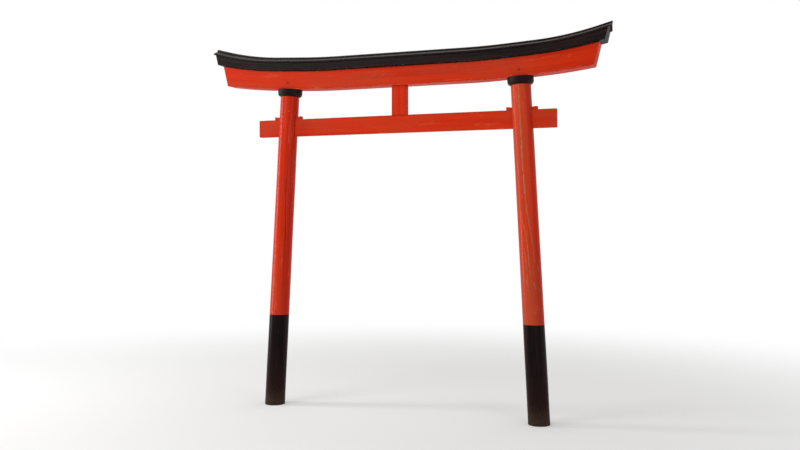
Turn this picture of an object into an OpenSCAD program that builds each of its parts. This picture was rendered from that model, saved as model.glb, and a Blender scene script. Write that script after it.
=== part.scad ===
// Wooden torii gate, in millimetres: two round posts that lean inward, with black bases, a
// wedged tie beam through both, and a double lintel that curves up at its ends under a
// boarded roof. The origin is the centre of the left post's foot face, at ground level.
// +X runs to the right post, +Y to the back and +Z up.

/* [Posts] */
// Distance between the centres of the two feet
foot_span = 2400; // [1800:10:3200]
// Diameter of a post at its foot
post_d = 180; // [150:1:240]
// Diameter of a post at its shoulder, under the capital ring
post_top_d = 166; // [130:1:200]
// Inward lean of each post, in degrees from upright
post_lean = 3.2; // [0:0.1:6]
// Height of the black base
base_h = 810; // [400:10:1200]
// Thickness of the wrap around the base, let in flush with the post
base_wrap_t = 3; // [1:0.5:6]
// Width of the square tenon on a post's top
tenon_w = 72; // [50:1:90]
// Depth of that tenon in the lower lintel
tenon_in = 110; // [60:1:130]

/* [Tie beam] */
// Height of the tie beam's underside above the ground
tie_z = 2400; // [1900:10:2700]
// Height of the tie beam's section
tie_h = 150; // [110:1:200]
// Thickness of the tie beam
tie_t = 54; // [40:1:80]
// How far each end of the tie beam stands out from its post
tie_out = 200; // [120:5:320]
// Bevel along the tie beam's edges
tie_bevel = 3; // [1:0.5:8]

/* [Wedges] */
// Height of a wedge at its tip, inside the post
wedge_tip_h = 12; // [6:1:20]
// Slope of a wedge's top, in degrees
wedge_angle = 7; // [3:0.5:12]
// How far a wedge's head stands out from the post
wedge_out = 44; // [20:1:80]

/* [Centre strut] */
// Height of the strut between tie beam and lower lintel
strut_h = 250; // [180:5:340]
// Width of the strut, seen from the front
strut_w = 130; // [90:1:180]
// Thickness of the strut, front to back
strut_t = 66; // [50:1:90]
// Depth of the stub tenon at each end of the strut
strut_tenon_in = 25; // [15:1:40]
// Thickness of those stub tenons
strut_tenon_t = 22; // [15:1:30]

/* [Capital rings] */
// Height of a capital ring
ring_h = 62; // [40:1:90]
// How far a ring stands out from the post's shoulder
ring_out = 25; // [12:1:45]

/* [Lower lintel] */
// Height of the lower lintel between the posts
lintel_h = 160; // [130:1:220]
// Thickness of the lower lintel, front to back
lintel_t = 140; // [110:1:180]
// How far its underside runs past a post's axis
lintel_out = 600; // [450:10:900]
// Length over which its underside bends inside each post, to stand square on the post
bend_in = 350; // [100:10:500]
// Slope of its underside at the ends, in degrees
rise_angle = 8.5; // [4:0.5:16]
// Extra height of its section at the ends
lintel_swell = 14; // [0:1:30]
// Slope of all the lintel ends, in degrees from upright
end_angle = 14; // [0:1:25]
// Bevel along the edges of both lintels
lintel_bevel = 4; // [1:0.5:8]
// Diameter of the pegs through the lower lintel and the posts' tenons
peg_d = 24; // [16:1:32]
// How far a peg stands out at each face
peg_out = 4; // [1:0.5:10]

/* [Upper lintel] */
// Height of the upper lintel's faces between the posts
cap_h = 72; // [50:1:110]
// Thickness of the upper lintel, front to back
cap_t = 190; // [185:1:240]
// Height of its ridge over its faces
cap_ridge_h = 34; // [16:1:60]
// How far it overhangs the lower lintel at each end
cap_out = 45; // [20:1:80]
// Extra height of its faces at the ends
cap_swell = 10; // [0:1:25]

/* [Roof boards] */
// Thickness of the roof boards, measured upright
roof_t = 14; // [8:1:22]
// How far the boards overhang the upper lintel's faces
roof_eave = 10; // [4:1:24]
// How far the boards overhang its ends
roof_end = 12; // [4:1:30]
// Width of the ridge cap
ridge_w = 60; // [40:1:90]
// Thickness of the ridge cap, measured upright
ridge_t = 12; // [6:1:20]

/* [Hidden] */
$fn = 96;
vermilion = [0.80, 0.22, 0.06];
black = [0.10, 0.09, 0.09];

// Clearance around tenons, pegs and the tie beam in their holes
fit = 0.25;
// Length of the cutting solids past what they cut
spare = 30;
// Greatest distance between two sections of a curved beam
station_pitch = 45;
// Share of that distance under which a section is left out before a beam's end
station_merge = 0.3;
// Straight stretch of the lintel's underside past the capital ring
ring_margin = 12;
// Gap between the tips of the two wedges in one post
wedge_tip_gap = 6;
// Narrowing of the strut's stub tenons on each side
strut_shoulder = 18;
// Straight, upright part of a capital ring's side, as a share of its height
ring_band = 0.45;
// Width of the lip between the post and the ring's curved underside
ring_lip = 5;
// Bevel around the ring's top edge, the pegs' ends and the wedges' heads
small_bevel = 3;

tie_top = tie_z + tie_h;
lintel_z = tie_top + strut_h;
end_slope = tan(end_angle);
lean_slope = tan(post_lean);
ring_r = post_top_d / 2 + ring_out;

// The lower lintel's underside is level in the middle, bends up to the slope at which it stands
// square on the leaning posts, runs straight over the capital rings and bends up to its ends
ring_reach = ring_r + ring_margin;
ring_z = lintel_z + lean_slope * (bend_in / 2 + ring_reach);
ring_x = foot_span / 2 - lean_slope * ring_z;
ring_run = ring_z / cos(post_lean);
bend_start = ring_x - ring_reach - bend_in;
bend_end = ring_x - ring_reach;
curve_start = ring_x + ring_reach;
lintel_end = ring_x + lintel_out;
lintel_top_end = lintel_end + end_slope * (lintel_h + lintel_swell);
cap_end = lintel_top_end + cap_out;
roof_slope = cap_ridge_h / (cap_t / 2);

post_run = ring_run - ring_h;
post_taper = (post_d - post_top_d) / 2 / post_run;

// Distance of a post's axis from the gate's middle at height z
function axis_x(z) = foot_span / 2 - z * lean_slope;
// Half of a post's width, seen from the front, at height z
function post_half(z) = (post_d / 2 - post_taper * z / cos(post_lean)) / cos(post_lean);

// Share of the way along the end curve: 0 where it starts, 1 at the lower lintel's end
function end_share(x) = max(0, abs(x) - curve_start) / (lintel_end - curve_start);
// Height of the lower lintel's underside at distance x from the middle
function lintel_under(x) =
    let (
        d = abs(x),
        bent = min(max(0, d - bend_start), bend_in),
        straight = max(0, d - bend_end),
        curved = (tan(rise_angle) - lean_slope) * (lintel_end - curve_start)
            * pow(end_share(x), 2) / 2
    )
        lintel_z + lean_slope * (pow(bent, 2) / bend_in / 2 + straight) + curved;
function lintel_height(x) = lintel_h + lintel_swell * pow(end_share(x), 2);
function seat_z(x) = lintel_under(x) + lintel_height(x);
function cap_height(x) = cap_h + cap_swell * pow(end_share(x), 2);

// Points from low up to high, with no short step before high
function steps(low, high) = concat(
    [for (x = [low : station_pitch : high - station_merge * station_pitch]) x],
    [high]
);
// Places of a beam's sections on the right half, from where it starts to bend to its end
function stations(end) = concat(steps(bend_start, bend_end), steps(curve_start, end));
function backwards(list) = [for (i = [len(list) - 1 : -1 : 0]) list[i]];

// One section of a beam: outline holds points [y, height over the beam's base curve], and
// slope shifts them outward with height
function section(x, slope, outline, base) = [
    for (p = outline)
        let (px = x + sign(x) * slope * p[1])
            [px, p[0], base(px) + p[1]]
];
// Sections of the right half of a beam, upright but for the last one. Outline and base are
// functions of x
function half_sections(end, outline, base) = [
    for (x = concat([0], stations(end)))
        section(x, x == end ? end_slope : 0, outline(x), base)
];
// Sections of a whole beam, from its left end to its right end
function whole_sections(end, outline, base) = let (xs = stations(end))
    [for (x = concat(-backwards(xs), xs))
        section(x, abs(x) == end ? end_slope : 0, outline(x), base)];

// Outline of a rectangle that stands on height 0, with bevelled corners
function bevelled_outline(t, h, bevel) = [
    [-t / 2 + bevel, 0], [t / 2 - bevel, 0], [t / 2, bevel], [t / 2, h - bevel],
    [t / 2 - bevel, h], [-t / 2 + bevel, h], [-t / 2, h - bevel], [-t / 2, bevel]
];

// Solid through a row of sections that have like points
module loft(sections) {
    count = len(sections[0]);
    last = len(sections) - 1;
    sides = [
        for (s = [0 : last - 1], i = [0 : count - 1])
            let (j = (i + 1) % count)
                [s * count + i, (s + 1) * count + i, (s + 1) * count + j, s * count + j]
    ];
    ends = [
        [for (i = [0 : count - 1]) i],
        [for (i = [count - 1 : -1 : 0]) last * count + i]
    ];
    polyhedron([for (s = sections) each s], concat(sides, ends));
}

// Puts a piece made for the right side, measured from the gate's middle, in its place
module in_gate(side = 1) {
    translate([foot_span / 2, 0, 0])
        mirror([side < 0 ? 1 : 0, 0, 0])
            children();
}

// Part of its child between two heights
module level_slice(low, high) {
    width = 2 * foot_span;
    intersection() {
        children();
        translate([-width / 2, -width / 2, low]) cube([width, width, high - low]);
    }
}

// Places its children on the right post's axis, a distance from the foot
module on_post(run = 0) {
    translate([foot_span / 2, 0, 0])
        rotate([0, -post_lean, 0])
            translate([0, 0, run])
                children();
}

// The leaning, tapered log up to its shoulder, a given distance inside its face
module log_body(inset = 0) {
    on_post(-spare)
        cylinder(
            h = post_run + spare,
            r1 = post_d / 2 + post_taper * spare - inset,
            r2 = post_top_d / 2 - inset
        );
}

// Box that is centred on a point of its base
module box_on(at, size) {
    translate([at[0] - size[0] / 2, at[1] - size[1] / 2, at[2]]) cube(size);
}

module across(thickness) {
    rotate([90, 0, 0]) linear_extrude(thickness, center = true) children();
}

// Hole through a post for the tie beam, with a roof that rises to both faces for the wedges
module tie_mortise() {
    reach = post_half(tie_z) + spare;
    roof = tie_top + wedge_tip_h;
    roof_rise = reach * tan(wedge_angle);
    translate([axis_x(tie_top), 0, 0])
        across(tie_t + 2 * fit)
            polygon([
                [-reach, tie_z], [reach, tie_z], [reach, roof + roof_rise],
                [0, roof], [-reach, roof + roof_rise]
            ]);
}

// Hole for a post's tenon, from the ring's seat up, and as far down as given
module tenon_mortise(down) {
    width = tenon_w + 2 * fit;
    on_post(ring_run) box_on([0, 0, -down], [width, width, tenon_in + fit + down]);
}

module peg_bore() {
    on_post(ring_run + tenon_in / 2)
        rotate([90, 0, 0])
            cylinder(h = lintel_t + spare, d = peg_d + 2 * fit, center = true);
}

module post() {
    difference() {
        union() {
            level_slice(base_h, ring_z) log_body();
            level_slice(0, base_h) log_body(base_wrap_t + fit);
            on_post(post_run) box_on([0, 0, 0], [tenon_w, tenon_w, ring_h + tenon_in]);
        }
        tie_mortise();
        peg_bore();
    }
}

module base_wrap() {
    level_slice(0, base_h)
        difference() {
            log_body();
            log_body(base_wrap_t);
        }
}

// Turned ring that widens from the post to a straight band under the lintel
module capital_ring() {
    low_r = post_top_d / 2 + ring_lip;
    curve_h = ring_h * (1 - ring_band);
    curve_points = [
        for (a = [0 : 15 : 90])
            [low_r + (ring_r - low_r) * sin(a), curve_h * (1 - cos(a))]
    ];
    difference() {
        on_post(post_run)
            rotate_extrude()
                polygon(concat(
                    [[0, 0]],
                    curve_points,
                    [[ring_r, ring_h - small_bevel], [ring_r - small_bevel, ring_h], [0, ring_h]]
                ));
        tenon_mortise(ring_h + spare);
    }
}

module strut_mortise(z) {
    box_on(
        [0, 0, z],
        [strut_w - 2 * strut_shoulder + 2 * fit, strut_tenon_t + 2 * fit, strut_tenon_in + fit]
    );
}

module through_tie_beam() {
    half_length = axis_x(tie_top) + post_half(tie_top) + tie_out;
    difference() {
        translate([0, 0, tie_z])
            rotate([90, 0, 90])
                linear_extrude(2 * half_length, center = true)
                    polygon(bevelled_outline(tie_t, tie_h, tie_bevel));
        strut_mortise(tie_top - strut_tenon_in - fit);
    }
}

// Wedge between the tie beam's top and the mortise's roof. Outward is 1 or -1
module wedge(outward) {
    tip = wedge_tip_gap / 2;
    head = post_half(tie_top) + wedge_out;
    tip_h = wedge_tip_h + tip * tan(wedge_angle);
    head_h = wedge_tip_h + head * tan(wedge_angle);
    translate([axis_x(tie_top), 0, tie_top])
        mirror([outward < 0 ? 1 : 0, 0, 0])
            across(tie_t - 2 * tie_bevel)
                polygon([
                    [tip, 0], [head, 0], [head, head_h - small_bevel],
                    [head - small_bevel, head_h - small_bevel * tan(wedge_angle)], [tip, tip_h]
                ]);
}

module strut() {
    box_on([0, 0, tie_top], [strut_w, strut_t, strut_h]);
    box_on(
        [0, 0, tie_top - strut_tenon_in],
        [strut_w - 2 * strut_shoulder, strut_tenon_t, strut_h + 2 * strut_tenon_in]
    );
}

module curved_lower_lintel() {
    difference() {
        loft(whole_sections(
            lintel_end,
            function(x) bevelled_outline(lintel_t, lintel_height(x), lintel_bevel),
            function(x) lintel_under(x)
        ));
        for (side = [-1, 1])
            mirror([side < 0 ? 1 : 0, 0, 0]) {
                tenon_mortise(spare);
                peg_bore();
            }
        translate([0, 0, -spare]) strut_mortise(lintel_z);
        strut_mortise(lintel_z);
    }
}

module lintel_peg() {
    half = lintel_t / 2 + peg_out;
    r = peg_d / 2;
    on_post(ring_run + tenon_in / 2)
        rotate([90, 0, 0])
            rotate_extrude()
                polygon([
                    [0, -half], [r - small_bevel, -half], [r, small_bevel - half],
                    [r, half - small_bevel], [r - small_bevel, half], [0, half]
                ]);
}

module curved_upper_lintel() {
    loft(whole_sections(
        cap_end,
        function(x) [
            [-cap_t / 2 + lintel_bevel, 0], [cap_t / 2 - lintel_bevel, 0],
            [cap_t / 2, lintel_bevel], [cap_t / 2, cap_height(x)],
            [0, cap_height(x) + cap_ridge_h],
            [-cap_t / 2, cap_height(x)], [-cap_t / 2, lintel_bevel]
        ],
        function(x) seat_z(x)
    ));
}

// Board on the front slope of the right half, from the ridge to past the face
module roof_board() {
    eave_y = -cap_t / 2 - roof_eave;
    loft(half_sections(
        cap_end + roof_end,
        function(x)
            let (ridge = cap_height(x) + cap_ridge_h, eave = ridge + eave_y * roof_slope)
                [[eave_y, eave], [0, ridge], [0, ridge + roof_t], [eave_y, eave + roof_t]],
        function(x) seat_z(x)
    ));
}

// Folded cap over the joint between the front and back boards of the right half
module ridge_cap() {
    drop = roof_slope * ridge_w / 2;
    loft(half_sections(
        cap_end + roof_end,
        function(x)
            let (top = cap_height(x) + cap_ridge_h + roof_t)
                [
                    [0, top], [ridge_w / 2, top - drop], [ridge_w / 2, top - drop + ridge_t],
                    [0, top + ridge_t], [-ridge_w / 2, top - drop + ridge_t],
                    [-ridge_w / 2, top - drop]
                ],
        function(x) seat_z(x)
    ));
}

module left_post() color(vermilion) in_gate(-1) post();
module right_post() color(vermilion) in_gate() post();
module left_base_wrap() color(black) in_gate(-1) base_wrap();
module right_base_wrap() color(black) in_gate() base_wrap();
module left_capital_ring() color(black) in_gate(-1) capital_ring();
module right_capital_ring() color(black) in_gate() capital_ring();
module tie_beam() color(vermilion) in_gate() through_tie_beam();
module left_outer_wedge() color(vermilion) in_gate(-1) wedge(1);
module left_inner_wedge() color(vermilion) in_gate(-1) wedge(-1);
module right_inner_wedge() color(vermilion) in_gate() wedge(-1);
module right_outer_wedge() color(vermilion) in_gate() wedge(1);
module centre_strut() color(vermilion) in_gate() strut();
module lower_lintel() color(vermilion) in_gate() curved_lower_lintel();
module left_lintel_peg() color(vermilion) in_gate(-1) lintel_peg();
module right_lintel_peg() color(vermilion) in_gate() lintel_peg();
module upper_lintel() color(black) in_gate() curved_upper_lintel();
module front_left_roof_board() color(black) in_gate(-1) roof_board();
module front_right_roof_board() color(black) in_gate() roof_board();
module back_left_roof_board() color(black) in_gate(-1) mirror([0, 1, 0]) roof_board();
module back_right_roof_board() color(black) in_gate() mirror([0, 1, 0]) roof_board();
module left_ridge_cap() color(black) in_gate(-1) ridge_cap();
module right_ridge_cap() color(black) in_gate() ridge_cap();

left_post();
right_post();
left_base_wrap();
right_base_wrap();
left_capital_ring();
right_capital_ring();
tie_beam();
left_outer_wedge();
left_inner_wedge();
right_inner_wedge();
right_outer_wedge();
centre_strut();
lower_lintel();
left_lintel_peg();
right_lintel_peg();
upper_lintel();
front_left_roof_board();
front_right_roof_board();
back_left_roof_board();
back_right_roof_board();
left_ridge_cap();
right_ridge_cap();
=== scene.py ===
"""Looks of a wooden torii gate: painted logs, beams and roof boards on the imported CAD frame."""

import math
from typing import NamedTuple

import bmesh
import bpy
import numpy as np
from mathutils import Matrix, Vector


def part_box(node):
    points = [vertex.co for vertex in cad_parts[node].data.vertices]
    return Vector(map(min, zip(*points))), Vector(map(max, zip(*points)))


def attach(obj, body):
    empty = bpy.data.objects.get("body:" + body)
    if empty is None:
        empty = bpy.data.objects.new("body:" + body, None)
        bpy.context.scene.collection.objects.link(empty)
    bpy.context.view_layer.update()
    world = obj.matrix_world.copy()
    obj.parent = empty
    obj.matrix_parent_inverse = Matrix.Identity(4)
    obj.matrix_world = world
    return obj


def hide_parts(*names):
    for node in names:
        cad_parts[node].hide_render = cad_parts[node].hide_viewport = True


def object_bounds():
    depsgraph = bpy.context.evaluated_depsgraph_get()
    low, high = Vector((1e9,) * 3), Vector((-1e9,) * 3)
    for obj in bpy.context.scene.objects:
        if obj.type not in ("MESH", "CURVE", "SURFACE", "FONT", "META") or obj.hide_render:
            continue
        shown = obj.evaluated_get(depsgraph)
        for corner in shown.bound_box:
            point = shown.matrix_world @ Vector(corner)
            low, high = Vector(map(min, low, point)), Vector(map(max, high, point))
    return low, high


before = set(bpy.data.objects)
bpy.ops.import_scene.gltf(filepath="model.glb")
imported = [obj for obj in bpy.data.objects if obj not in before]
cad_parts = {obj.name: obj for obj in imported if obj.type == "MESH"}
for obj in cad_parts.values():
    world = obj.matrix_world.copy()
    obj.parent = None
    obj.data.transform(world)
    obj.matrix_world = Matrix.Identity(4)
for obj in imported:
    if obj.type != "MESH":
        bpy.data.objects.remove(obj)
cad_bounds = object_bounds()

MM = 0.001
TURN = 2 * math.pi

# The gate's sides, its roof's faces with their directions in y, and the corners of a square
SIDES = ("left", "right")
ROOF_FACES = {"front": -1, "back": 1}
SQUARE = np.array([(-1, -1), (1, -1), (1, 1), (-1, 1)])

# Points of the frame that are nearer than this count as level, and places have these digits
EXACT = 0.02 * MM
DIGITS = 5

# Linear colours of the paint, what shows through it and what lies on it
VERMILION = (0.60, 0.026, 0.001)
ORANGE_RED = (0.63, 0.043, 0.003)
DEEP_RED = (0.42, 0.007, 0.001)
FADED_RED = (0.47, 0.058, 0.022)
PRIMER = (0.62, 0.30, 0.17)
PALE_SCRATCH = (0.72, 0.23, 0.105)
# Painted highlight: a lighter red along the red paint's lower edge
PAINTED_HIGHLIGHT_RIM = (0.72, 0.115, 0.045)
BARE_PALE = (0.50, 0.180, 0.092)
BARE_GREY = (0.27, 0.110, 0.062)
# Bare wood in painted shade, on the posts' side facing +x
BARE_IN_PAINTED_SHADE = (0.23, 0.072, 0.040)
RAW_WOOD = (0.060, 0.026, 0.013)
BLACK = (0.0044, 0.0018, 0.0022)
BROWN_BLACK = (0.021, 0.0072, 0.0056)
GREY_BLACK = (0.034, 0.030, 0.030)
SPLASH = (0.085, 0.058, 0.038)
DUST = (0.19, 0.17, 0.145)
EDGE_BROWN = (0.095, 0.070, 0.052)
RUST = (0.075, 0.030, 0.014)
PALE_FLOOR = (0.90, 0.895, 0.885)
WHITE = (1, 1, 1)

# Spacing and number of the points along the logs and beams, and around them
LOG_PITCH = 8 * MM
LOG_COLUMNS = 144
INNER_ROWS = 9
BEAM_PITCH = 12 * MM
SHORT_ROWS = 24
PEG_COLUMNS = 48

# Steps of a beam's rounded corner, and the most of a side that one corner may take
CORNER_STEPS = np.linspace(0, 1, 5)
CORNER_SHARE = 0.45

# Faces that meet at more than these angles make an edge where paint wears off, or a sharp one
EDGE_ANGLE = math.radians(8)
SHARP_ANGLE = math.radians(38)

# A face with more corners than this is a piece's flat end
END_CORNERS = 30

# How many waves make up the unevenness of a face
WAVES = 12

# How an end's rim is eased: distances from the end, and how far the rim is drawn in there
LOG_EASE = ((0.0, 1.6 * MM), (0.5 * MM, 0.6 * MM), (1.6 * MM, 0.0))
BEAM_EASE = ((0.0, 2.2 * MM), (0.3 * MM, 1.0 * MM), (1.0 * MM, 0.35 * MM), (2.4 * MM, 0.0))

# Room around the tenon in a ring and around the tie beam in its mortise, and around a peg
JOINT_GAP = 0.25 * MM
PEG_GAP = 0.5 * MM


class Timber(NamedTuple):
    """How a piece is worked: depth and waves of its unevenness, share that its seats keep of their
    place, rounding of its edges and pitch of the points between them."""

    depth: float
    across: float
    along: float
    seats: float = 0.0
    edge: float = 0.0
    pitch: float = 11 * MM


LOG = Timber(0.9 * MM, 160 * MM, 700 * MM)
RING = Timber(0.6 * MM, 90 * MM, 90 * MM)
PEG = Timber(0.4 * MM, 20 * MM, 100 * MM)
LINTEL = Timber(0.8 * MM, 110 * MM, 600 * MM, seats=1.0, edge=2.2 * MM)
TIE = Timber(0.8 * MM, 90 * MM, 600 * MM, seats=1.0, edge=2.2 * MM)
STRUT = Timber(0.8 * MM, 70 * MM, 300 * MM, seats=1.0, edge=2.6 * MM)
WEDGE = Timber(0.7 * MM, 50 * MM, 120 * MM, edge=1.5 * MM, pitch=6 * MM)
ROOF_BOARD = Timber(0.7 * MM, 80 * MM, 500 * MM, seats=0.6, edge=1.6 * MM)
RIDGE_CAP = Timber(0.5 * MM, 60 * MM, 500 * MM, seats=0.6, edge=1.4 * MM)


# Reading the frame

def cad_points(node):
    """The vertices of a CAD node, in the frame."""
    return np.array([v.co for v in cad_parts[node].data.vertices], float)


def level_with(points, axis, value):
    """Those of the points that lie at a value on an axis."""
    return points[np.abs(points[:, axis] - value) < EXACT]


def middle(points):
    return (points.min(0) + points.max(0)) / 2


def unit(vectors):
    return vectors / np.linalg.norm(vectors, axis=-1, keepdims=True)


class Post:
    """Where one post stands, read off the frame: its foot, its axis and its radius."""

    def __init__(self, side):
        wrap = cad_points(f"{side}_base_wrap")
        self.line_z = wrap[:, 2].max()
        low = level_with(wrap, 2, 0)
        self.foot = middle(low)
        self.along = unit(middle(level_with(wrap, 2, self.line_z)) - self.foot)
        self.out = np.array([self.along[2], 0.0, -self.along[0]])
        self.axes = np.stack([self.out, (0.0, 1.0, 0.0), self.along])
        self.foot_radius = low[:, 1].max()
        self.wrap_inset = self.foot_radius - np.linalg.norm(low - self.foot, axis=1).min()
        ring = self.local(cad_points(f"{side}_capital_ring"))
        self.shoulder = ring[:, 2].min()
        self.ring_top = ring[:, 2].max()
        log = cad_points(f"{side}_post")
        self.log_inset = self.foot_radius - level_with(log, 2, 0)[:, 1].max()
        log = self.local(log)
        self.tenon_top = log[:, 2].max()
        self.tenon_half = level_with(log, 2, self.tenon_top)[:, 1].max()
        rim = level_with(log, 2, self.shoulder)
        self.top_radius = np.hypot(rim[:, 0], rim[:, 1]).max()

    def local(self, points):
        """Points as distances to the right and back of the axis, and along it."""
        return (points - self.foot) @ self.axes.T

    def world(self, local):
        return self.foot + local @ self.axes

    def axis_x(self, height):
        return self.foot[0] + self.along[0] / self.along[2] * height

    def radius(self, along):
        share = along / self.shoulder
        return self.foot_radius + (self.top_radius - self.foot_radius) * share

    def level(self, height, angle):
        """How far along the axis the log's face is at a height, for each angle around it."""
        along = height / self.along[2]
        return along - self.radius(along) * np.cos(angle) * self.out[2] / self.along[2]


POSTS = {side: Post(side) for side in SIDES}


def edge_line(node, y, upper=False):
    """A CAD beam's lengthwise edge at one y, as rows of x and z: the lower or the upper one.
    Where the ends are sloped, each of their corners stands alone, the upper one further out."""
    points = cad_points(node)
    centre = middle(points)[0]
    points = level_with(points, 1, y)
    xs = np.unique(points[:, 0].round(DIGITS))
    heights = [level_with(points, 0, x)[:, 2] for x in xs]
    low = np.array([z.min() for z in heights])
    high = np.array([z.max() for z in heights])
    single = high - low < EXACT
    keep = ~single | single.all()
    for side in (xs < centre, xs > centre):
        ends = np.flatnonzero(single & side)
        if len(ends):
            far = np.abs(xs[ends] - centre)
            keep[ends[far.argmax() if upper else far.argmin()]] = True
    return xs[keep], (high if upper else low)[keep]


def on_line(line, share, y=0.0):
    """Points on such an edge, at shares of its length from its left end."""
    xs, zs = line
    x = xs[0] + (xs[-1] - xs[0]) * share
    return np.stack([x, np.full_like(x, y), np.interp(x, xs, zs)], -1)


# Mesh helpers

def waves(grain, seed, across, along):
    """Smooth unevenness from 0 to 1, with waves of about these lengths."""
    rng = np.random.default_rng(seed)
    total = np.zeros(grain.shape[:-1])
    for _ in range(WAVES):
        turn = rng.uniform(0, TURN)
        sideways = rng.uniform(0.4, 1.3) / across
        lengthwise = rng.uniform(-1.3, 1.3) / along
        flat = grain[..., 0] * math.cos(turn) + grain[..., 1] * math.sin(turn)
        phase = flat * sideways + grain[..., 2] * lengthwise
        total += np.sin(TURN * phase + rng.uniform(0, TURN))
    return np.clip(0.5 + total / (2.4 * math.sqrt(WAVES)), 0, 1)


def tube_faces(rows, columns, joined=False):
    """Quads between rings of points, with flat ends or joined in a loop."""
    here = np.arange(rows * columns).reshape(rows, columns)
    ahead = np.roll(here, -1, axis=0)
    quads = np.stack([here, np.roll(here, -1, 1), np.roll(ahead, -1, 1), ahead], -1)
    if joined:
        return quads.reshape(-1, 4).tolist()
    ends = [here[0, ::-1].tolist(), here[-1].tolist()]
    return quads[:-1].reshape(-1, 4).tolist() + ends


def smooth(piece):
    """Smooth faces, with flat ends and with the sharper edges left sharp."""
    for face in piece.data.polygons:
        face.use_smooth = face.loop_total <= END_CORNERS
    piece.data.set_sharp_from_angle(angle=SHARP_ANGLE)


def add_object(name, data):
    made = bpy.data.objects.new(name, data)
    bpy.context.scene.collection.objects.link(made)
    return made


def new_piece(name, points, faces):
    """A closed mesh, with its faces turned outward."""
    mesh = bpy.data.meshes.new(name)
    mesh.from_pydata(np.reshape(points, (-1, 3)).tolist(), [], faces)
    mesh.validate()
    solid = bmesh.new()
    solid.from_mesh(mesh)
    if solid.calc_volume(signed=True) < 0:
        mesh.flip_normals()
    solid.free()
    piece = add_object(name, mesh)
    smooth(piece)
    return piece


def lofted(name, rings, joined=False):
    """A closed mesh through rings of points."""
    return new_piece(name, rings, tube_faces(*rings.shape[:2], joined))


def vertices(piece):
    points = np.empty(len(piece.data.vertices) * 3)
    piece.data.vertices.foreach_get("co", points)
    return points.reshape(-1, 3)


def set_vector(piece, name, values):
    layer = piece.data.attributes.new(name, "FLOAT_VECTOR", "POINT")
    layer.data.foreach_set("vector", np.asarray(values, np.float32).ravel())


def mark_edges(piece, grain):
    """Stores 1 at the edges that run along the grain, for the wear there."""
    mesh = bmesh.new()
    mesh.from_mesh(piece.data)
    share = np.zeros(len(mesh.verts), np.float32)
    for edge in mesh.edges:
        ends = [vertex.index for vertex in edge.verts]
        way = np.abs(grain[ends[0]] - grain[ends[1]])
        if edge.calc_face_angle(0.0) > EDGE_ANGLE and way[2] > 2 * max(way[:2]):
            share[ends] = 1
    mesh.free()
    piece.data.attributes.new("edge", "FLOAT", "POINT").data.foreach_set("value", share)


def settle(piece, grain, timber, seed):
    """Draws a piece's faces inward, smoothly and unevenly, and its seats less."""
    points = vertices(piece)
    normals = np.array([v.normal for v in piece.data.vertices])
    depth = timber.depth * (1 - timber.seats * normals[:, 2] ** 2)
    uneven = waves(grain(points), seed, timber.across, timber.along)
    points -= normals * (depth * uneven)[:, None]
    piece.data.vertices.foreach_set("co", points.ravel())
    piece.data.update()


def cut(piece, *tools):
    """Takes closed meshes out of a piece, and deletes them."""
    for tool in tools:
        modifier = piece.modifiers.new("cut", "BOOLEAN")
        modifier.operation = "DIFFERENCE"
        modifier.solver = "EXACT"
        modifier.object = tool
    evaluated = piece.evaluated_get(bpy.context.evaluated_depsgraph_get())
    mesh = bpy.data.meshes.new_from_object(evaluated)
    piece.modifiers.clear()
    piece.data = mesh
    for tool in tools:
        bpy.data.objects.remove(tool)
    smooth(piece)


def finish_piece(piece, material, grain, slot, *stands_for):
    """Gives a piece its grain coordinates and material, and puts it on the body."""
    places = grain(vertices(piece))
    set_vector(piece, "grain", places)
    mark_edges(piece, places)
    piece.data.materials.append(material)
    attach(piece, "root")
    if stands_for:
        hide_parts(*stands_for)


# Materials

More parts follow.
